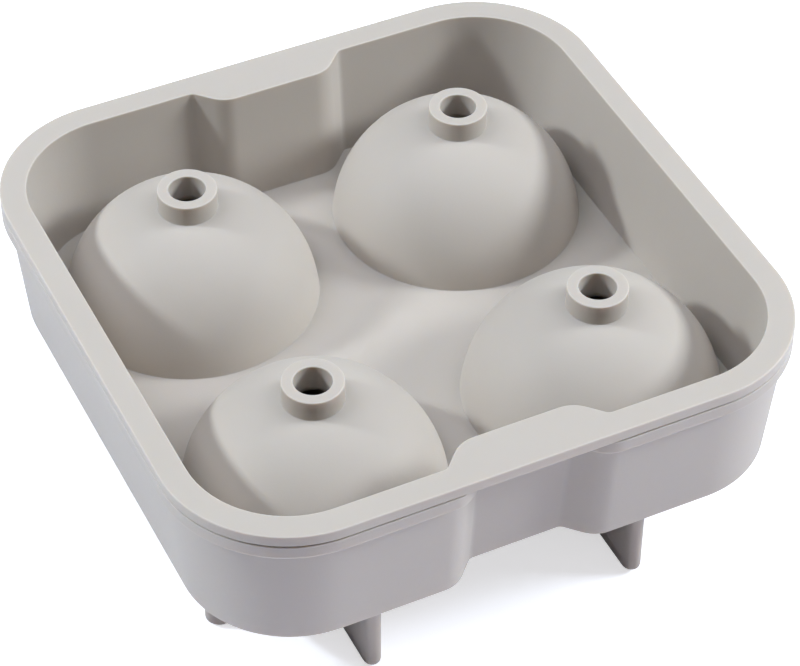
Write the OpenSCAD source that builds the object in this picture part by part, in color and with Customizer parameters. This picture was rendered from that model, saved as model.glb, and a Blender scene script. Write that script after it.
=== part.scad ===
// Two-piece silicone mould for round ice: a tray of half-ball cups and a lid of half-ball domes.
// The lid drops into the tray, and water is poured in through the spout on each dome.
// Millimetres, +Z up. The feet stand on z = 0, centred on X and Y, with the waisted sides facing -Y and +Y.

/* [Ice balls] */
// Diameter of one ice ball
ball_d = 45; // [35:0.5:60]
// Thickness of the half-ball shells
shell_t = 2.9; // [1.8:0.1:4]
// Space between two neighbouring domes where they meet the floor
dome_gap = 7.8; // [6:0.1:20]
// Space between a dome and the side wall of the dish
wall_gap = 1; // [0.6:0.1:10]

/* [Walls] */
// Draft of every side wall, in degrees
draft = 5; // [2:0.05:10]
// Thickness of the lid's side wall
lid_wall_t = 2.1; // [1.5:0.1:4]
// Thickness of the tray's side wall
tray_wall_t = 2; // [1.5:0.1:4]
// Thickness of the lid's floor
lid_floor_t = 2.2; // [1.8:0.1:4]
// Thickness of the tray's floor
tray_floor_t = 3.3; // [1.8:0.1:5]
// Height of the lid from its underside to the top of its rim
lid_h = 27.2; // [22:0.1:40]

/* [Rims] */
// Radius of the flange's outer corners
corner_r = 25; // [18:0.5:30]
// Thickness of the lid's flange
flange_t = 2; // [1.2:0.1:4]
// How far the flange reaches past the tray's wall
flange_lip = 0.8; // [0.3:0.1:1.5]
// Height of the band round the tray's rim
band_h = 2.6; // [1:0.1:6]
// How far the band stands in from the flange's edge
band_inset = 0; // [0:0.05:0.25]

/* [Finger waists] */
// Depth of the waist in the front and back walls
waist_depth = 5.1; // [3:0.1:8]
// Width of the waist's flat
waist_flat = 17.4; // [12:0.1:22]
// Slope of the waist's shoulders, in degrees
waist_slope = 46; // [30:1:60]
// Radius of a shoulder's tight bends, on the face inside each bend
waist_r = 1.8; // [1.2:0.1:3]

/* [Fill spouts] */
// Outer diameter of a spout
spout_d = 11.8; // [8:0.1:16]
// Diameter of the hole through a spout
spout_bore = 7.2; // [5:0.1:7.5]
// Height of a spout above its dome
spout_h = 3.7; // [1:0.1:8]

/* [Feet] */
// Thickness of a foot
foot_t = 2.8; // [1.5:0.1:5]
// How far the feet reach below the cups
foot_drop = 1.2; // [0.2:0.1:5]
// How far the outer edge of a front or back foot stands in from the side of its cup
foot_inset = 1.4; // [0:0.1:4]
// How far the outer edge of a side foot stands in from the side of its cup
side_foot_inset = 2.1; // [0:0.1:4]
// How far a front or back foot stands off its ball's axis, towards the middle of the tray
foot_shift = 1.4; // [0:0.1:4]
// Radius of a foot's lower outer corner
foot_r = 2.5; // [0.5:0.1:6]

/* [Seals] */
// Width of the raised ring round each cup's mouth
seal_w = 1.5; // [1:0.1:2]
// Height of the ring
seal_h = 1; // [0.5:0.1:1.4]
// Land between the mouth and the ring
seal_land = 1.1; // [0.8:0.1:2]

/* [Clearances] */
// Space between the lid's wall and the tray's wall
fit_gap = 0.3; // [0.2:0.05:1]
// Space between the flange and the tray's rim
rim_gap = 0.7; // [0.2:0.1:2]
// Space round a seal ring in its groove
seal_gap = 0.25; // [0.15:0.05:0.5]

/* [Hidden] */
$fn = 96;
corner_steps = 14;
bend_steps = 4;
// How far a cut runs past the face that it opens
past = 1;
silicone = "#cbc9c4";

ball_r = ball_d / 2;
shell_r = ball_r + shell_t;
ball_pitch = 2 * shell_r + dome_gap;

parting_z = foot_drop + shell_r;
tray_floor_z = parting_z - tray_floor_t;
lid_floor_z = parting_z + lid_floor_t;
rim_z = parting_z + lid_h;
tray_rim_z = rim_z - flange_t - rim_gap;

// Wall faces, as insets from the flange's edge at the height of the rim
tray_out = flange_lip;
tray_in = tray_out + tray_wall_t;
lid_out = tray_in + fit_gap;
lid_in = lid_out + lid_wall_t;

// The dish clears the domes at its floor and widens to the rim with the draft
dish_half = ball_pitch / 2 + shell_r + wall_gap;
flange_half = dish_half + (rim_z - lid_floor_z) * tan(draft) + lid_in;

// Run of one shoulder of the waist: two bends and the straight slope between them.
// A bend has one centre for all wall faces, so its radius grows with the wall's thickness.
bend_sum = 2 * waist_r + lid_in - tray_out;
slope_rise = waist_depth - bend_sum * (1 - cos(waist_slope));
shoulder_run = bend_sum * sin(waist_slope) + slope_rise / tan(waist_slope);

// Inset of a wall face at a height, from its inset at the rim
function inset_at(rim_inset, z) = rim_inset + (rim_z - z) * tan(draft);

function arc(centre, r, from, to, steps) =
    [for (i = [0:steps]) let (a = from + (to - from) * i / steps) centre + r * [cos(a), sin(a)]];

// Left shoulder of the front waist, from the side wall in to the flat
function left_shoulder(rim_inset, y) =
    let (
        flat = waist_flat / 2,
        side_r = waist_r + lid_in - rim_inset,
        flat_r = waist_r + rim_inset - tray_out
    )
    concat(
        arc([-flat - shoulder_run, y + side_r], side_r, -90, waist_slope - 90, bend_steps),
        arc([-flat, y + waist_depth - flat_r], flat_r, waist_slope + 90, 90, bend_steps));

function mirrored(points) = [for (i = [len(points) - 1:-1:0]) [-points[i].x, points[i].y]];

// Front waist and the two right-hand corners of a wall face's outline at a height
function outline_half(rim_inset, z) =
    let (
        inset = inset_at(rim_inset, z),
        shoulder = left_shoulder(rim_inset, inset - flange_half),
        middle = flange_half - corner_r,
        r = corner_r - inset
    )
    concat(
        shoulder,
        mirrored(shoulder),
        arc([middle, -middle], r, -90, 0, corner_steps),
        arc([middle, middle], r, 0, 90, corner_steps));

// Outline of a wall face: its second half is the first, turned half round
function outline(rim_inset, z) = let (half = outline_half(rim_inset, z)) concat(half, -half);

// Solid block whose sides follow the waisted outline and lean in by the draft.
// Its flat ends are fans of triangles about the middle.
module drafted_block(rim_inset, z_low, z_high) {
    low = outline(rim_inset, z_low);
    high = outline(rim_inset, z_high);
    n = len(low);
    points = concat(
        [for (p = low) [p.x, p.y, z_low]],
        [for (p = high) [p.x, p.y, z_high]],
        [[0, 0, z_low], [0, 0, z_high]]);
    faces = [for (i = [0:n - 1])
        let (j = (i + 1) % n)
        each [[2 * n, i, j], [i, i + n, j + n, j], [2 * n + 1, j + n, i + n]]];
    polyhedron(points, faces);
}

module at_balls() {
    for (x = [-1, 1], y = [-1, 1])
        translate([x * ball_pitch / 2, y * ball_pitch / 2, parting_z]) children();
}

module half_ball(r) {
    rotate_extrude() intersection() {
        circle(r);
        square(r);
    }
}

module ring(r, width, height) {
    rotate_extrude() translate([r, 0]) square([width, height]);
}

module flange() {
    side = flange_half - corner_r;
    translate([0, 0, rim_z - flange_t]) linear_extrude(flange_t) {
        square([2 * flange_half, 2 * side], center = true);
        square([2 * side, 2 * flange_half], center = true);
        for (x = [-side, side], y = [-side, side]) translate([x, y]) circle(corner_r);
    }
}

// Dome of one upper half ball, with its fill spout
module dome() {
    half_ball(shell_r);
    cylinder(d = spout_d, h = shell_r + spout_h);
}

// Plate that stands under a cup and runs along X out to its side, with a round outer edge
module foot(start, reach) {
    height = tray_floor_z + tray_floor_t / 2;
    translate([0, 0, -parting_z]) intersection() {
        linear_extrude(height) {
            translate([start, -foot_t / 2]) square([reach - foot_t / 2 - start, foot_t]);
            translate([reach - foot_t / 2, 0]) circle(d = foot_t);
        }
        translate([0, foot_t / 2, 0]) rotate([90, 0, 0]) linear_extrude(foot_t) {
            translate([start, 0]) square([reach - foot_r - start, height]);
            translate([start, foot_r]) square([reach - start, height - foot_r]);
            translate([reach - foot_r, foot_r]) circle(foot_r);
        }
    }
}

// Two feet of one cup, which meet in an L under it
module feet() {
    end = foot_t / 2;
    foot(-foot_shift - end, shell_r - side_foot_inset);
    translate([-foot_shift, 0, 0]) rotate(90) foot(-end, shell_r - foot_inset);
}

module lid() {
    color(silicone) difference() {
        union() {
            difference() {
                union() {
                    flange();
                    drafted_block(lid_out, parting_z, rim_z - flange_t / 2);
                }
                drafted_block(lid_in, lid_floor_z, rim_z + past);
            }
            at_balls() dome();
        }
        at_balls() {
            sphere(ball_r);
            cylinder(d = spout_bore, h = shell_r + spout_h + past);
            translate([0, 0, -past])
                ring(ball_r + seal_land - seal_gap, seal_w + 2 * seal_gap, seal_h + seal_gap + past);
        }
    }
}

module tray() {
    color(silicone) difference() {
        union() {
            difference() {
                union() {
                    drafted_block(tray_out, tray_floor_z, tray_rim_z);
                    translate([0, 0, tray_rim_z - band_h])
                        linear_extrude(band_h) polygon(outline(band_inset, rim_z));
                }
                drafted_block(tray_in, parting_z, tray_rim_z + past);
            }
            at_balls() {
                mirror([0, 0, 1]) half_ball(shell_r);
                ring(ball_r + seal_land, seal_w, seal_h);
            }
            for (x = [0, 1], y = [0, 1]) mirror([x, 0, 0]) mirror([0, y, 0])
                translate([ball_pitch / 2, ball_pitch / 2, parting_z]) feet();
        }
        at_balls() sphere(ball_r);
    }
}

tray();
lid();
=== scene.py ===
"""Looks of a two-piece silicone mould for round ice: a lid of domes that sits in a tray of cups.

Both mouldings are rebuilt as one smooth closed skin each, with the small edge radii that moulded
silicone has. A quarter of each skin is worked out as grids and mirrored about the middle planes.
Sizes are in millimetres and become metres when a mesh is made.
"""

import logging
import math
from dataclasses import dataclass
from enum import Enum
from typing import Any

import bpy
import numpy as np
from mathutils import Matrix, Vector


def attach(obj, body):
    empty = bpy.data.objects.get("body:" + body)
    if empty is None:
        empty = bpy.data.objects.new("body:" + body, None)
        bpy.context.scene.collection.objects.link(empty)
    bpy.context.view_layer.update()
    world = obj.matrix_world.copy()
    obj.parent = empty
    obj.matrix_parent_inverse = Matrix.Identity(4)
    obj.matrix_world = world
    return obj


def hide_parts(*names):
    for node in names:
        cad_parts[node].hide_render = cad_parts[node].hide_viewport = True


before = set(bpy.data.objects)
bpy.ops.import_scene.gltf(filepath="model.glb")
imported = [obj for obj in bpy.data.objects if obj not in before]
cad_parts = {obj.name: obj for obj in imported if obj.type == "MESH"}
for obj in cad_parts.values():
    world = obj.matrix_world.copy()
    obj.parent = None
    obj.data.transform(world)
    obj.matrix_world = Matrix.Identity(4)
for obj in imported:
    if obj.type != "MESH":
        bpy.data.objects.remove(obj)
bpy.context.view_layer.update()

MM = 0.001
MERGE_STEPS_PER_MM = 1e4
IMAGE_W = 800
SENSOR_W = 36.0
WHITE = "#FFFFFF"
log = logging.getLogger("ice_ball_mould")


class Facing(Enum):
    """Which way the faces of a grid look, as the sign of their winding."""

    OUT = 1
    TURNED = -1


class Half(Enum):
    """Upper or lower half of a ball, as the sign of its height from the parting face."""

    UPPER = 1
    LOWER = -1


class WallEnd(Enum):
    """End of a wall's profile, as its index: at the upper flat face or at the lower one."""

    UPPER = 0
    LOWER = -1


class Pointing(Enum):
    """Which way a foot points from its ball's axis: to the side, or to the front or back."""

    SIDE = "x"
    FRONT = "y"


def linear(hex_colour: str) -> tuple[float, float, float, float]:
    """Turn an sRGB hex colour into linear RGBA, by the straight and the curved part of sRGB.

    Args:
        hex_colour: Six hex digits after a hash.

    Returns:
        Linear red, green, blue and an alpha of 1.
    """
    parts = np.array([int(hex_colour[i:i + 2], 16) for i in (1, 3, 5)]) / 255
    low, high = parts / 12.92, ((parts + 0.055) / 1.055) ** 2.4
    return (*np.where(parts <= 0.04045, low, high).tolist(), 1.0)


def outward(bearing: float, height: float) -> Vector:
    """Direction from the object to a place round it.

    Args:
        bearing: Angle from the front, in degrees, growing to the right.
        height: Angle above the table, in degrees.

    Returns:
        A vector of length one.
    """
    a, e = math.radians(bearing), math.radians(height)
    return Vector((math.sin(a) * math.cos(e), -math.cos(a) * math.cos(e), math.sin(e)))


def unit(vector: np.ndarray) -> np.ndarray:
    """Scale a vector to length one."""
    return vector / np.linalg.norm(vector)


def arc(
    centre: tuple[float, float], radius: float, start: float, stop: float, count: int
) -> np.ndarray:
    """Sample a circular arc at even angles.

    Args:
        centre: Centre of the circle.
        radius: Radius of the circle.
        start: First angle, in degrees.
        stop: Last angle, in degrees.
        count: Number of points, ends included.

    Returns:
        Points of shape (count, 2).
    """
    angle = np.radians(np.linspace(start, stop, count))
    return np.array(centre) + radius * np.column_stack([np.cos(angle), np.sin(angle)])


@dataclass(frozen=True)
class MouldSizes:
    """Driving sizes of the two mouldings, in millimetres and degrees, and the places they give."""

    ball_d: float = 45.0
    shell_t: float = 2.9
    dome_gap: float = 7.8
    wall_gap: float = 1.0
    draft: float = 5.0
    lid_wall_t: float = 2.1
    tray_wall_t: float = 2.0
    lid_floor_t: float = 2.2
    tray_floor_t: float = 3.3
    lid_h: float = 27.2
    corner_r: float = 25.0
    flange_t: float = 2.0
    flange_lip: float = 0.8
    band_h: float = 2.6
    band_inset: float = 0.0
    waist_depth: float = 5.1
    waist_flat: float = 17.4
    waist_slope: float = 46.0
    waist_r: float = 1.8
    spout_d: float = 11.8
    spout_bore: float = 7.2
    spout_h: float = 3.7
    foot_t: float = 2.8
    foot_drop: float = 1.2
    foot_inset: float = 1.4
    side_foot_inset: float = 2.1
    foot_shift: float = 1.4
    foot_r: float = 2.5
    seal_w: float = 1.5
    seal_h: float = 1.0
    seal_land: float = 1.1
    fit_gap: float = 0.3
    rim_gap: float = 0.7
    seal_gap: float = 0.25

    @property
    def ball_r(self) -> float:
        """Radius of the ice ball."""
        return self.ball_d / 2

    @property
    def shell_r(self) -> float:
        """Outer radius of a dome or cup."""
        return self.ball_r + self.shell_t

    @property
    def axis(self) -> float:
        """Distance of a ball's axis from either middle plane."""
        return self.shell_r + self.dome_gap / 2

    @property
    def parting_z(self) -> float:
        """Height of the face where lid and tray meet."""
        return self.foot_drop + self.shell_r

    @property
    def lid_floor_z(self) -> float:
        """Height of the dish's floor."""
        return self.parting_z + self.lid_floor_t

    @property
    def tray_floor_z(self) -> float:
        """Height of the underside of the tray's floor."""
        return self.parting_z - self.tray_floor_t

    @property
    def rim_z(self) -> float:
        """Height of the top of the flange."""
        return self.parting_z + self.lid_h

    @property
    def tray_rim_z(self) -> float:
        """Height of the top of the tray's rim."""
        return self.rim_z - self.flange_t - self.rim_gap

    @property
    def spout_z(self) -> float:
        """Height of the top of a spout."""
        return self.parting_z + self.shell_r + self.spout_h

    @property
    def lean(self) -> float:
        """Sideways run of a wall for each millimetre of height."""
        return math.tan(math.radians(self.draft))

    @property
    def tray_in(self) -> float:
        """How far the tray's inner wall stands in from the flange's edge at the rim."""
        return self.flange_lip + self.tray_wall_t

    @property
    def lid_out(self) -> float:
        """How far the lid's outer wall stands in from the flange's edge at the rim."""
        return self.tray_in + self.fit_gap

    @property
    def lid_in(self) -> float:
        """Width of the rim, from the flange's edge to the dish."""
        return self.lid_out + self.lid_wall_t

    @property
    def flange_half(self) -> float:
        """Half the width of the flange."""
        dish_half = self.axis + self.shell_r + self.wall_gap
        return dish_half + (self.rim_z - self.lid_floor_z) * self.lean + self.lid_in

    def wall(self, rim_inset: float, z: float) -> float:
        """Half width of a drafted wall face at a height.

        Args:
            rim_inset: How far the face stands in from the flange's edge at the rim.
            z: Height.

        Returns:
            Distance of the face from the middle plane.
        """
        return self.flange_half - rim_inset - (self.rim_z - z) * self.lean

    @staticmethod
    def sphere_z(radius: float, reach: float) -> float:
        """Height of a sphere above its centre at a distance from its axis."""
        return math.sqrt(radius**2 - reach**2)


@dataclass(frozen=True)
class Detail:
    """How finely the skins are drawn, and the edge radii of the moulding in millimetres.

    Attributes:
        seam: Points along each middle plane.
        side: Points along the straight side of an outline.
        corner: Points round the corner of an outline.
        back: Points along the straight stretch between corner and waist.
        bend: Points round each bend of the waist.
        flat: Points along the flat of the waist.
        dome: Points down the arc of a ball's profile.
        fillet: Points round a rounded corner of a profile.
        floor: Rings from a ball's profile out to the wall.
        tip: Points round the outer edge of a foot, and levels in each stretch of its height.
        guard: How far an extra point stands past each end of a rounded corner.
        sharp: Radius of the sharpest edges.
        edge: Radius of the usual edges.
        soft: Radius of the softest edges.
        throat: Radius round the lower end of a bore.
        sag: How far the lower edges of the flange and of the tray's band hang, as soft edges do.
        flat_run: How far a profile's end runs out on a flat face, in edge radii.
        spout_clear: How far outside its spout the arc of a dome starts, in soft edge radii.
        arc_stop: How far before the corner at its foot the arc of a ball stops, in degrees.
    """

    seam: int = 30
    side: int = 22
    corner: int = 26
    back: int = 12
    bend: int = 9
    flat: int = 8
    dome: int = 30
    fillet: int = 5
    floor: int = 5
    tip: int = 13
    guard: float = 0.06
    sharp: float = 0.16
    edge: float = 0.24
    soft: float = 0.45
    throat: float = 2.4
    sag: float = 0.35
    flat_run: float = 2.0
    spout_clear: float = 3.0
    arc_stop: float = 3.0


@dataclass
class Corner:
    """One point of a profile: where it is, how round it is, and which waist it follows.

    A wall's corner names its face by the face's inset at the rim, which sets the radii of the
    waist's bends, and gives the share of the waist's depth that it follows.
    """

    out: float
    z: float
    radius: float = 0.0
    face: float = 0.0
    waist: float = 1.0


@dataclass
class Profile:
    """A profile with its corners rounded.

    Each point has its place, the face and the share of the waist that it follows, and a mark
    from 0 to 1 on the outer edges.
    """

    out: np.ndarray
    z: np.ndarray
    face: np.ndarray
    waist: np.ndarray
    edge: np.ndarray


def rounded(corners: list[Corner], detail: Detail, facing: Facing = Facing.OUT) -> Profile:
    """Round the corners of a profile.

    Each corner with a radius becomes an arc that touches both neighbours, with one more point just
    past each end so that the flats stay flat when they are shaded. The arc turns evenly from the
    radius at its first point to the radius at its last. A corner with no radius stays.

    Args:
        corners: The profile's points in order, with the material on the right, or on the left
            if turned.
        detail: Point counts and the distance of the extra points.
        facing: Which side the material is on.

    Returns:
        The rounded profile.
    """
    places = np.array([[c.out, c.z] for c in corners])
    rows = []
    for i, c in enumerate(corners):
        if c.radius == 0:
            rows.append(np.array([[c.out, c.z, c.face, c.waist, 0.0]]))
            continue
        back, ahead = unit(places[i - 1] - places[i]), unit(places[i + 1] - places[i])
        half = math.acos(np.clip(back @ ahead, -1, 1)) / 2
        reach = c.radius / math.tan(half)
        centre = places[i] + unit(back + ahead) * c.radius / math.sin(half)
        first, last = places[i] + back * reach - centre, places[i] + ahead * reach - centre
        sweep = math.pi - 2 * half
        t = np.linspace(0, 1, detail.fillet)[:, None]
        bow = (np.sin((1 - t) * sweep) * first + np.sin(t * sweep) * last) / math.sin(sweep)
        before, after = places[i] + np.array([back, ahead]) * (reach + detail.guard)
        points = np.vstack([before, centre + bow, after])
        turn = (ahead[0] * back[1] - ahead[1] * back[0]) * facing.value
        # The mark on outer edges sets where the finish paints a paler highlight.
        mark = (turn < 0) * np.sin(np.linspace(0, math.pi, len(points)))
        share = np.broadcast_to([c.face, c.waist], points.shape)
        rows.append(np.column_stack([points, share, mark]))
    return Profile(*np.vstack(rows).T)


@dataclass
class Skin:
    """Part of a closed skin: points, quads and a mark from 0 to 1 on its outer edges."""

    points: np.ndarray
    quads: np.ndarray
    edge: np.ndarray

    @classmethod
    def grid(cls, places: np.ndarray, edge: np.ndarray, closed: bool, facing: Facing) -> "Skin":
        """Join the points of a grid with quads.

        Args:
            places: Points of shape (rows, columns, 3).
            edge: Mark of each row.
            closed: Whether the last column joins the first.
            facing: Which way the faces look.

        Returns:
            The skin of the grid.
        """
        rows, columns = places.shape[:2]
        index = np.arange(rows * columns).reshape(rows, columns)
        if closed:
            index = np.column_stack([index, index[:, :1]])
        a, b, c, d = index[:-1, :-1], index[1:, :-1], index[1:, 1:], index[:-1, 1:]
        quads = np.stack([a, b, c, d], axis=-1).reshape(-1, 4)[:, ::facing.value]
        return cls(places.reshape(-1, 3), quads, np.repeat(edge, columns))

    @classmethod
    def joined(cls, skins: list["Skin"]) -> "Skin":
        """Put several skins into one, without merging their points.

        Args:
            skins: The skins, in order.

        Returns:
            One skin of all of them.
        """
        starts = np.cumsum([0] + [len(s.points) for s in skins[:-1]])
        return cls(
            np.vstack([s.points for s in skins]),
            np.vstack([s.quads + start for s, start in zip(skins, starts)]),
            np.concatenate([s.edge for s in skins]),
        )

    def mirrored(self, x: int, y: int) -> "Skin":
        """Mirror about the middle planes, with the faces still looking out.

        Args:
            x: 1 or -1, the sign given to X.
            y: 1 or -1, the sign given to Y.

        Returns:
            The mirrored skin.
        """
        return Skin(self.points * [x, y, 1], self.quads[:, ::x * y], self.edge)

    def to_object(self, name: str) -> bpy.types.Object:
        """Merge points that coincide and make a smooth mesh object in metres.

        A quad with two corners in one place becomes a triangle, and a merged point keeps the
        strongest mark.

        Args:
            name: Name of the object and its mesh.

        Returns:
            The new object, linked to the scene.
        """
        steps = np.round(self.points * MERGE_STEPS_PER_MM).astype(np.int64)
        _, keep, merged = np.unique(steps, axis=0, return_index=True, return_inverse=True)
        merged = merged.reshape(-1)
        quads = merged[self.quads]
        fresh = quads != np.roll(quads, -1, axis=1)
        sides = fresh.sum(axis=1)
        triangles = quads[sides == 3][fresh[sides == 3]].reshape(-1, 3)
        faces = quads[sides == 4].tolist() + triangles.tolist()
        mesh = bpy.data.meshes.new(name)
        mesh.from_pydata(self.points[keep] * MM, [], faces)
        mesh.polygons.foreach_set("use_smooth", np.ones(len(mesh.polygons), dtype=bool))
        mark = mesh.attributes.new("edge", "FLOAT", "POINT")
        most = np.zeros(len(keep))
        np.maximum.at(most, merged, self.edge)
        mark.data.foreach_set("value", most.astype(np.float32))
        mesh.update()
        piece = bpy.data.objects.new(name, mesh)
        bpy.context.collection.objects.link(piece)
        return piece


@dataclass
class Moulding:
    """What the lid and the tray share.

    That is the waisted outline, the swept wall, the round ball patches and the finish.
    """

    sizes: MouldSizes
    detail: Detail

    def outline(self, half: float, face: float, waist: float) -> np.ndarray:
        """Quarter of a wall's outline, from the middle of the right side to that of the waist.

        It is a straight side, a corner arc, a straight back and the S of the waist, which is two
        arcs with a slope between them. The corner arcs of all outlines share one centre, and so
        does each bend of the waist, so a bend's radius grows from face to face through the wall.

        Args:
            half: Distance of the straight sides from the middle planes.
            face: Inset of the wall's face at the rim.
            waist: Share of the waist's depth that the outline follows.

        Returns:
            Points of shape (n, 2), with the same n for every outline.
        """
        s, d = self.sizes, self.detail
        middle = s.flange_half - s.corner_r
        slope, flat = math.radians(s.waist_slope), s.waist_flat / 2
        side_r, flat_r = s.waist_r + s.lid_in - face, s.waist_r + face - s.flange_lip
        rise = s.waist_depth - (side_r + flat_r) * (1 - math.cos(slope))
        run = (side_r + flat_r) * math.sin(slope) + rise / math.tan(slope)
        start, deep = flat + run, half - s.waist_depth
        side = np.column_stack([np.full(d.side, half), np.linspace(0, middle, d.side)])
        corner = arc((middle, middle), half - middle, 0, 90, d.corner)[1:]
        back = np.column_stack([np.linspace(middle, start, d.back), np.full(d.back, half)])[1:]
        shoulder = arc((start, half - side_r), side_r, 90, 90 + s.waist_slope, d.bend)[1:]
        foot = arc((flat, deep + flat_r), flat_r, s.waist_slope - 90, -90, d.bend)
        level = np.column_stack([np.linspace(flat, 0, d.flat), np.full(d.flat, deep)])[1:]
        waisted = np.vstack([shoulder, foot, level])
        waisted[:, 1] = half - waist * (half - waisted[:, 1])
        return np.vstack([side, corner, back, waisted])

    def wall(self, profile: Profile) -> Skin:
        """Carry a profile along the outline.

        Args:
            profile: Half widths and heights, from the upper face over the rim to the lower face.

        Returns:
            The swept skin.
        """
        rows = zip(profile.out, profile.face, profile.waist)
        rings = np.stack([self.outline(*row) for row in rows])
        heights = np.broadcast_to(profile.z[:, None, None], (*rings.shape[:2], 1))
        places = np.concatenate([rings, heights], axis=2)
        return Skin.grid(places, profile.edge, False, Facing.OUT)

    def boundary(self, rim: np.ndarray) -> np.ndarray:
        """Edge of the quarter's flat face: both middle planes and the outline between them.

        The points on the middle planes are where rays at even angles from the ball's axis meet
        them.

        Args:
            rim: Outline at which the wall takes over from the flat face.

        Returns:
            A loop of points of shape (n, 2), from the middle of the moulding anticlockwise.
        """
        axis, count = self.sizes.axis, self.detail.seam
        along_x = np.linspace(-math.pi / 4, math.atan((rim[0, 0] - axis) / axis), count)[:-1]
        along_y = np.linspace(math.atan((rim[-1, 1] - axis) / axis), -math.pi / 4, count)[1:-1]
        right = np.column_stack([axis * (1 + np.tan(along_x)), np.zeros(count - 1)])
        left = np.column_stack([np.zeros(count - 2), axis * (1 + np.tan(along_y))])
        right[0] = 0
        return np.vstack([right, rim, left])

    def ball_patch(
        self, profile: Profile, wall: Profile, end: WallEnd, even: bool, facing: Facing
    ) -> Skin:
        """Turn a profile round a ball's axis and spread its last ring over the flat face.

        Where the first ring is even, the rings turn from evenly spaced angles there to the angles
        of the boundary's points. The flat face runs straight from the last ring to the boundary.

        Args:
            profile: Radii and heights, from the axis or bore out to the flat face.
            wall: Profile of the wall that takes over from the flat face.
            end: Which end of the wall's profile does so.
            even: Whether the first ring has even angles, so that two patches meet there.
            facing: Which way the faces look.

        Returns:
            The skin of the patch.
        """
        axis = self.sizes.axis
        loop = self.boundary(self.outline(wall.out[end.value], wall.face[end.value], 1.0))
        angle = np.unwrap(np.arctan2(loop[:, 1] - axis, loop[:, 0] - axis))
        spread = angle[0] + np.arange(len(loop)) * 2 * math.pi / len(loop)
        share = np.linspace(0, 1, len(profile.out)) if even else np.ones(len(profile.out))
        turned = spread + share[:, None] * (angle - spread)
        radius = profile.out[:, None]
        rings = np.stack([axis + radius * np.cos(turned), axis + radius * np.sin(turned)], axis=2)
        t = np.linspace(0, 1, self.detail.floor + 1)[1:, None, None]
        floor = rings[-1] * (1 - t) + loop * t
        flat = np.concatenate([rings, floor])
        z = np.concatenate([profile.z, np.full(self.detail.floor, profile.z[-1])])
        heights = np.broadcast_to(z[:, None, None], (*flat.shape[:2], 1))
        edge = np.concatenate([profile.edge, np.zeros(self.detail.floor)])
        return Skin.grid(np.concatenate([flat, heights], axis=2), edge, True, facing)

    def ball_arc(self, radius: float, start: float, stop: float, half: Half) -> list[Corner]:
        """Points of a half ball's profile at even angles from its axis.

        Args:
            radius: Radius of the ball.
            start: First angle from the axis, in degrees.
            stop: Last angle from the axis, in degrees.
            half: Which half of the ball.

        Returns:
            Corners without a radius.
        """
        angle = np.radians(np.linspace(start, stop, self.detail.dome))
        out = radius * np.sin(angle)
        z = self.sizes.parting_z + half.value * radius * np.cos(angle)
        return [Corner(*point) for point in np.column_stack([out, z]).tolist()]

    def whole(self, quarter: list[Skin], name: str) -> bpy.types.Object:
        """Mirror a quarter about the middle planes and make the object.

        Args:
            quarter: The quarter's skins.
            name: Name of the object.

        Returns:
            The finished object.
        """
        skin = Skin.joined(quarter)
        quarters = [skin.mirrored(x, y) for x in (1, -1) for y in (1, -1)]
        return Skin.joined(quarters).to_object(name)

    def dress(self, piece: bpy.types.Object, body: str) -> None:
        """Give the moulding its finish and let it stand for its solid.

        Args:
            piece: The moulding's object.
            body: Name of the body that it rides on, which is also the name of the solid.
        """
        piece.data.materials.append(SiliconeFinish(f"moulded_silicone_{body}").build())
        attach(piece, body)
        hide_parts(body)


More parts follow.
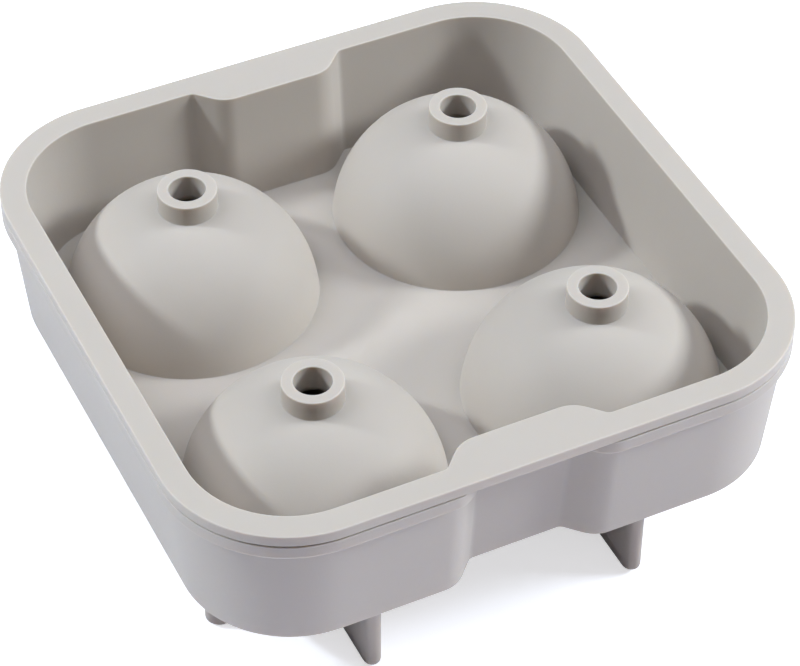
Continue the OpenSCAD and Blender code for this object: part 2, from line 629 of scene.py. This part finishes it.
class Lid(Moulding):
    """The upper moulding: a dish of domes with fill spouts, under a flat flange."""

    def wall_profile(self) -> Profile:
        """Dish wall, rim, flange and outer wall.

        Returns:
            The profile, from the dish's floor round to the underside.
        """
        s, d = self.sizes, self.detail
        flange_z = s.rim_z - s.flange_t - d.sag
        dish, side = s.wall(s.lid_in, s.lid_floor_z), s.wall(s.lid_out, s.parting_z)
        return rounded([
            Corner(dish - d.flat_run * d.sharp, s.lid_floor_z, 0.0, s.lid_in),
            Corner(dish, s.lid_floor_z, d.sharp, s.lid_in),
            Corner(s.wall(s.lid_in, s.rim_z), s.rim_z, d.edge, s.lid_in),
            Corner(s.flange_half, s.rim_z, d.edge, s.flange_lip, 0.0),
            Corner(s.flange_half, flange_z, d.sharp, s.flange_lip, 0.0),
            Corner(s.wall(s.lid_out, flange_z), flange_z, d.edge, s.lid_out),
            Corner(side, s.parting_z, d.edge, s.lid_out),
            Corner(side - d.flat_run * d.soft, s.parting_z, 0.0, s.lid_out),
        ], d)

    def dome_profile(self) -> Profile:
        """Spout and dome.

        Returns:
            The profile, from part of the way down the bore to the dish's floor.
        """
        s, d = self.sizes, self.detail
        bore, spout = s.spout_bore / 2, s.spout_d / 2
        foot = s.sphere_z(s.shell_r, s.lid_floor_t)
        start = math.degrees(math.asin((spout + d.spout_clear * d.soft) / s.shell_r))
        stop = math.degrees(math.asin(foot / s.shell_r)) - d.arc_stop
        return rounded([
            Corner(bore, s.spout_z - s.spout_h),
            Corner(bore, s.spout_z, d.edge),
            Corner(spout, s.spout_z, d.edge),
            Corner(spout, s.parting_z + s.sphere_z(s.shell_r, spout), d.sharp),
            *self.ball_arc(s.shell_r, start, stop, Half.UPPER),
            Corner(foot, s.lid_floor_z, d.sharp),
            Corner(foot + d.flat_run * d.sharp, s.lid_floor_z),
        ], d)

    def cavity_profile(self) -> Profile:
        """Lower bore, half-ball cavity and seal groove.

        Returns:
            The profile, from the bore out to the underside.
        """
        s, d = self.sizes, self.detail
        bore = s.spout_bore / 2
        near = s.ball_r + s.seal_land - s.seal_gap
        far = near + s.seal_w + 2 * s.seal_gap
        roof = s.parting_z + s.seal_h + s.seal_gap
        start = math.degrees(math.asin((bore + d.throat + d.edge) / s.ball_r))
        return rounded([
            Corner(bore, s.spout_z - s.spout_h),
            Corner(bore, s.parting_z + s.sphere_z(s.ball_r, bore), d.throat),
            *self.ball_arc(s.ball_r, start, 90 - d.arc_stop, Half.UPPER),
            Corner(s.ball_r, s.parting_z, d.sharp),
            Corner(near, s.parting_z, d.sharp),
            Corner(near, roof, d.sharp),
            Corner(far, roof, d.sharp),
            Corner(far, s.parting_z, d.sharp),
            Corner(far + d.flat_run * d.soft, s.parting_z),
        ], d, Facing.TURNED)

    def build(self) -> bpy.types.Object:
        """Make the lid's skin.

        Returns:
            The lid as one object.
        """
        wall = self.wall_profile()
        return self.whole([
            self.wall(wall),
            self.ball_patch(self.dome_profile(), wall, WallEnd.UPPER, True, Facing.OUT),
            self.ball_patch(self.cavity_profile(), wall, WallEnd.LOWER, True, Facing.TURNED),
        ], "silicone_lid")


@dataclass
class Tray(Moulding):
    """The lower moulding: cups in a waisted tray, with seal rings, a banded rim and plate feet.

    Attributes:
        front_lap: Where a front foot starts past the ball's axis, in plate thicknesses.
        side_lap: Where a side foot starts behind the middle of the front one, in the same.
        least_run: Least length of a foot's level loop, in half thicknesses.
        cap_draw: How far the ends of a foot's closing loops draw in, in half thicknesses.
    """

    front_lap: float = 0.25
    side_lap: float = 0.45
    least_run: float = 1.5
    cap_draw: float = 0.25

    def wall_profile(self) -> Profile:
        """Inner wall, rim, band and outer wall.

        Returns:
            The profile, from the parting face round to the underside.
        """
        s, d = self.sizes, self.detail
        band, band_z = s.flange_half - s.band_inset, s.tray_rim_z - s.band_h - d.sag
        socket, base = s.wall(s.tray_in, s.parting_z), s.wall(s.flange_lip, s.tray_floor_z)
        return rounded([
            Corner(socket - d.flat_run * d.soft, s.parting_z, 0.0, s.tray_in),
            Corner(socket, s.parting_z, d.sharp, s.tray_in),
            Corner(s.wall(s.tray_in, s.tray_rim_z), s.tray_rim_z, d.edge, s.tray_in),
            Corner(band, s.tray_rim_z, d.edge, s.band_inset),
            Corner(band, band_z, d.soft, s.band_inset),
            Corner(s.wall(s.flange_lip, band_z), band_z, d.sharp, s.flange_lip),
            Corner(base, s.tray_floor_z, d.soft, s.flange_lip),
            Corner(base - d.flat_run * d.soft, s.tray_floor_z, 0.0, s.flange_lip),
        ], d)

    def cup_profile(self) -> Profile:
        """Half-ball cup and seal ring.

        Returns:
            The profile, from the lowest point of the cup out to the parting face.
        """
        s, d = self.sizes, self.detail
        near = s.ball_r + s.seal_land
        far, top = near + s.seal_w, s.parting_z + s.seal_h
        return rounded([
            *self.ball_arc(s.ball_r, 0, 90 - d.arc_stop, Half.LOWER),
            Corner(s.ball_r, s.parting_z, d.sharp),
            Corner(near, s.parting_z, d.sharp),
            Corner(near, top, d.edge),
            Corner(far, top, d.edge),
            Corner(far, s.parting_z, d.sharp),
            Corner(far + d.flat_run * d.soft, s.parting_z),
        ], d)

    def underside_profile(self) -> Profile:
        """Outside of a cup.

        Returns:
            The profile, from the lowest point of the cup up to the tray's floor.
        """
        s, d = self.sizes, self.detail
        foot = s.sphere_z(s.shell_r, s.tray_floor_t)
        stop = math.degrees(math.asin(foot / s.shell_r)) - d.arc_stop
        return rounded([
            *self.ball_arc(s.shell_r, 0, stop, Half.LOWER),
            Corner(foot, s.tray_floor_z, d.soft),
            Corner(foot + d.flat_run * d.soft, s.tray_floor_z),
        ], d, Facing.TURNED)

    def foot(self, pointing: Pointing) -> Skin:
        """One plate foot, as level loops from the ground up to where the shell has covered it.

        A loop runs out along one side, round the outer edge and back along the other side. Its
        inner end stays inside the cup's shell, or under the cup inside the other plate. The lowest
        loops draw in by quarter circles to round the lower edges and the outer corner, and the
        first and last loop close the plate along its middle.

        Args:
            pointing: Which way the foot points from the ball's axis.

        Returns:
            The skin of the plate.
        """
        s, d = self.sizes, self.detail
        front = pointing is Pointing.FRONT
        inset, off = (s.foot_inset, s.foot_shift) if front else (s.side_foot_inset, 0.0)
        top = s.parting_z - s.sphere_z(s.shell_r, math.hypot(s.shell_r - inset, off) + d.edge)
        rise = 1 - np.cos(np.linspace(0, math.pi / 2, d.tip))
        bend = d.edge + (s.foot_r - d.edge) * rise[1:]
        z = np.concatenate([d.edge * rise, bend, np.linspace(s.foot_r, top, d.tip)[1:]])
        low, drop = np.maximum(d.edge - z, 0), np.maximum(s.foot_r - z, 0)
        thick = s.foot_t / 2 - d.edge + np.sqrt(d.edge**2 - low**2)
        reach = s.shell_r - inset - s.foot_r + np.sqrt(s.foot_r**2 - drop**2)
        shell = (s.ball_r + s.shell_t / 2) ** 2 - (s.parting_z - z) ** 2 - off**2
        butt = self.front_lap * s.foot_t if front else -self.side_lap * s.foot_t - s.foot_shift
        inner = np.where(shell > butt**2, np.sqrt(np.maximum(shell, 0)), butt)
        inner = np.minimum(inner, reach - self.least_run * thick)
        bow = np.radians(np.linspace(90, -90, d.tip))
        along = reach[:, None] - thick[:, None] * (1 - np.cos(bow))
        across = thick[:, None] * np.sin(bow)
        x = np.column_stack([inner, along, inner])
        y = np.column_stack([thick, across, -thick])
        draw = np.zeros(d.tip + 2)
        draw[[0, -1]] = self.cap_draw
        caps = x[[0, -1]] + thick[[0, -1], None] * draw
        x, y = np.vstack([caps[:1], x, caps[1:]]), np.vstack([0 * y[:1], y, 0 * y[-1:]])
        z = np.concatenate([z[:1], z, z[-1:]])
        x, y = (-y - off, x) if front else (x, y)
        places = np.stack([s.axis + x, s.axis + y, np.broadcast_to(z[:, None], x.shape)], axis=2)
        return Skin.grid(places, np.zeros(len(z)), True, Facing.OUT)

    def build(self) -> bpy.types.Object:
        """Make the tray's skin and its feet.

        Returns:
            The tray as one object.
        """
        wall = self.wall_profile()
        return self.whole([
            self.wall(wall),
            self.ball_patch(self.cup_profile(), wall, WallEnd.UPPER, False, Facing.OUT),
            self.ball_patch(self.underside_profile(), wall, WallEnd.LOWER, False, Facing.TURNED),
            self.foot(Pointing.SIDE),
            self.foot(Pointing.FRONT),
        ], "silicone_tray")


def add_node(
    tree: bpy.types.NodeTree, kind: str, links: dict[str, Any] | None = None, **settings: Any
) -> Any:
    """Add a node, set its properties and fill its inputs.

    Args:
        tree: Node tree to add to.
        kind: Blender's name for the node type.
        links: Input name to a value, or to an output socket to link from.
        settings: Properties of the node.

    Returns:
        The new node.
    """
    node = tree.nodes.new(kind)
    for name, value in settings.items():
        setattr(node, name, value)
    for name, value in (links or {}).items():
        socket = next(i for i in node.inputs if i.name == name and i.enabled)
        if isinstance(value, bpy.types.NodeSocket):
            tree.links.new(value, socket)
        else:
            socket.default_value = value
    return node


def result(node: Any) -> bpy.types.NodeSocket:
    """First output of a node that is in use."""
    return next(o for o in node.outputs if o.enabled)


@dataclass(frozen=True)
class SiliconeFinish:
    """Silicone rubber, compression moulded in a finely blasted steel tool.

    It gives the eye an even matte grey with a faint dry sheen, a little warm light inside thin
    edges and bores, a painted highlight of paler colour along the outer edges, and a cloudy drift
    of tone too soft to read as a pattern. The blast grain of the tool is about 0.1 mm and would
    not show, so it is drawn coarser.
    """

    name: str
    colour: str = "#BEB5AB"
    shade: str = "#BAB1A7"
    # Colour of the painted highlight along the outer edges, and how strongly it is laid on.
    painted_highlight_colour: str = "#CEC5BE"
    painted_highlight: float = 0.5
    roughness: tuple[float, float] = (0.56, 0.66)
    ior: float = 1.41
    sheen: float = 0.06
    sheen_roughness: float = 0.5
    depth: float = 0.35
    bleed_mm: tuple[float, float, float] = (3.2, 2.2, 1.2)
    cloud_mm: float = 28.0
    cloud_octaves: float = 3.0
    cloud_gain: float = 0.5
    grain_mm: float = 0.45
    grain_octaves: float = 2.0
    grain_gain: float = 0.6
    grain_span: tuple[float, float] = (0.3, 0.7)
    grain_depth_mm: float = 0.012

    def build(self) -> bpy.types.Material:
        """Make the material's nodes.

        Returns:
            The finished material.
        """
        material = bpy.data.materials.new(self.name)
        material.use_nodes = True
        tree = material.node_tree
        tree.nodes.clear()
        place = add_node(tree, "ShaderNodeTexCoord").outputs["Object"]
        cloud = result(add_node(tree, "ShaderNodeTexNoise", {
            "Vector": place, "Scale": 1 / (self.cloud_mm * MM),
            "Detail": self.cloud_octaves, "Roughness": self.cloud_gain}))
        grain = result(add_node(tree, "ShaderNodeTexNoise", {
            "Vector": place, "Scale": 1 / (self.grain_mm * MM),
            "Detail": self.grain_octaves, "Roughness": self.grain_gain}))
        edge = add_node(tree, "ShaderNodeAttribute", attribute_name="edge").outputs["Fac"]
        tone = result(add_node(tree, "ShaderNodeMix", {
            "Factor": cloud, "A": linear(self.shade), "B": linear(self.colour)}, data_type="RGBA"))
        # Painted highlight: a paler colour mixed in along the outer edges by their mark.
        painted_highlight = result(add_node(tree, "ShaderNodeMath", {"Value": edge}, operation="MULTIPLY"))
        painted_highlight.node.inputs[1].default_value = self.painted_highlight
        highlighted_tone = result(add_node(tree, "ShaderNodeMix", {
            "Factor": painted_highlight, "A": tone, "B": linear(self.painted_highlight_colour)}, data_type="RGBA"))
        rough = result(add_node(tree, "ShaderNodeMapRange", {
            "Value": grain, "From Min": self.grain_span[0], "From Max": self.grain_span[1],
            "To Min": self.roughness[0], "To Max": self.roughness[1]}))
        bump = result(add_node(tree, "ShaderNodeBump", {
            "Height": grain, "Strength": 1.0, "Distance": self.grain_depth_mm * MM}))
        surface = add_node(tree, "ShaderNodeBsdfPrincipled", {
            "Base Color": highlighted_tone, "Roughness": rough, "Normal": bump, "IOR": self.ior,
            "Subsurface Weight": self.depth, "Subsurface Radius": [b * MM for b in self.bleed_mm],
            "Subsurface Scale": 1.0, "Sheen Weight": self.sheen,
            "Sheen Roughness": self.sheen_roughness})
        add_node(tree, "ShaderNodeOutputMaterial", {"Surface": surface.outputs["BSDF"]})
        return material


@dataclass(frozen=True)
class TableFinish:
    """White laminate, pressed with a dead matte face.

    It gives the eye an even white with no gloss. A glow keeps it pale in shadow, and more so far
    from the lights.
    """

    name: str = "white_table"
    colour: str = "#EFF0F9"
    roughness: float = 0.9
    glow: tuple[float, float] = (0.6, 1.0)
    glow_reach_mm: tuple[float, float] = (250.0, 900.0)

    def build(self) -> bpy.types.Material:
        """Make the material's nodes.

        Returns:
            The finished material.
        """
        material = bpy.data.materials.new(self.name)
        material.use_nodes = True
        tree = material.node_tree
        tree.nodes.clear()
        near, far = (reach * MM for reach in self.glow_reach_mm)
        place = add_node(tree, "ShaderNodeTexCoord").outputs["Object"]
        away = add_node(tree, "ShaderNodeVectorMath", {"Vector": place}, operation="LENGTH")
        glow = result(add_node(tree, "ShaderNodeMapRange", {
            "Value": away.outputs["Value"], "From Min": near, "From Max": far,
            "To Min": self.glow[0], "To Max": self.glow[1]}))
        surface = add_node(tree, "ShaderNodeBsdfPrincipled", {
            "Base Color": linear(self.colour), "Roughness": self.roughness,
            "Specular IOR Level": 0.0, "Emission Color": linear(WHITE), "Emission Strength": glow})
        add_node(tree, "ShaderNodeOutputMaterial", {"Surface": surface.outputs["BSDF"]})
        return material


@dataclass(frozen=True)
class Softbox:
    """One studio softbox, placed by its bearing round the object, height angle and distance.

    A bearing of 0 is in front and grows to the right. Lengths are in millimetres.
    """

    name: str
    bearing: float
    height: float
    size: tuple[float, float]
    power: float
    colour: str
    distance: float = 900.0
    aim: tuple[float, float, float] = (0.0, 0.0, 30.0)

    def build(self) -> None:
        """Add the softbox, facing its aim."""
        lamp = bpy.data.lights.new(self.name, "AREA")
        lamp.shape = "RECTANGLE"
        lamp.size, lamp.size_y = (s * MM for s in self.size)
        lamp.energy = self.power
        lamp.color = linear(self.colour)[:3]
        light = bpy.data.objects.new(self.name, lamp)
        away = outward(self.bearing, self.height)
        turn = away.to_track_quat("Z", "Y").to_matrix().to_4x4()
        place = (Vector(self.aim) + away * self.distance) * MM
        light.matrix_world = Matrix.Translation(place) @ turn
        bpy.context.collection.objects.link(light)


@dataclass
class Studio:
    """A white table, a pale surround and the softboxes.

    The table's glow and the surround show, but they light nothing on the object.
    """

    table_half_mm: float = 4000.0
    table_finish: TableFinish = TableFinish()
    surround: float = 0.95
    softboxes: tuple[Softbox, ...] = (
        Softbox("left", -115.5, 35.2, (100.0, 90.0), 4.8, "#EDF8FF"),
        Softbox("right", 68.8, 29.5, (280.0, 200.0), 6.4, "#EFF8FF"),
        Softbox("upper_left", -115.5, 62.0, (400.0, 400.0), 3.1, "#EAF0FF"),
        Softbox("upper_right", 63.0, 62.0, (520.0, 400.0), 2.4, "#EEF3FF"),
        Softbox("overhead", 0.0, 90.0, (400.0, 400.0), 1.8, "#E6F3FF"),
        Softbox("front_strip", 0.0, 0.0, (700.0, 48.0), 0.9, "#FFEAFF"),
    )

    def table(self) -> None:
        """Lay the table under the feet, with its glow falling on nothing but itself."""
        h = self.table_half_mm * MM
        mesh = bpy.data.meshes.new("table")
        mesh.from_pydata([(-h, -h, 0), (h, -h, 0), (h, h, 0), (-h, h, 0)], [], [(0, 1, 2, 3)])
        mesh.materials.append(self.table_finish.build())
        table = bpy.data.objects.new("table", mesh)
        bpy.context.collection.objects.link(table)
        lit = bpy.data.collections.new("lit_by_table")
        lit.objects.link(table)
        table.light_linking.receiver_collection = lit

    def build(self) -> None:
        """Set the surround, the table and every softbox."""
        scene = bpy.context.scene
        scene.view_settings.view_transform = "Standard"
        scene.world = bpy.data.worlds.new("surround")
        scene.world.use_nodes = True
        glow = scene.world.node_tree.nodes["Background"]
        glow.inputs["Color"].default_value = linear(WHITE)
        glow.inputs["Strength"].default_value = self.surround
        for ray in ("diffuse", "glossy", "transmission", "scatter"):
            setattr(scene.world.cycles_visibility, ray, False)
        self.table()
        for softbox in self.softboxes:
            softbox.build()


@dataclass(frozen=True)
class View:
    """The camera: where it stands and how it is turned, in millimetres and degrees.

    The roll is how far its right side is tipped up.
    """

    place: tuple[float, float, float] = (-186.15, -386.76, 440.22)
    bearing: float = -26.0
    height: float = 43.68
    roll: float = 0.39
    focal_px: float = 3027.4

    def build(self) -> None:
        """Add the camera, looking back along its bearing."""
        back = outward(self.bearing, self.height)
        level = Vector((0, 0, 1)).cross(back).normalized()
        right = Matrix.Rotation(math.radians(self.roll), 3, back) @ level
        turn = Matrix((right, back.cross(right), back)).transposed().to_4x4()
        lens = bpy.data.cameras.new("camera")
        lens.sensor_width = SENSOR_W
        lens.lens = self.focal_px / IMAGE_W * SENSOR_W
        camera = bpy.data.objects.new("camera", lens)
        camera.matrix_world = Matrix.Translation(Vector(self.place) * MM) @ turn
        bpy.context.collection.objects.link(camera)
        bpy.context.scene.camera = camera


def main() -> None:
    """Build the pieces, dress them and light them."""
    logging.basicConfig(level=logging.INFO, format="%(message)s")
    View().build()
    Studio().build()
    sizes, detail = MouldSizes(), Detail()
    for body, moulding in (("lid", Lid(sizes, detail)), ("tray", Tray(sizes, detail))):
        piece = moulding.build()
        moulding.dress(piece, body)
        points, faces = len(piece.data.vertices), len(piece.data.polygons)
        log.info("%s: %d points, %d faces", piece.name, points, faces)


if __name__ == "__main__":
    main()
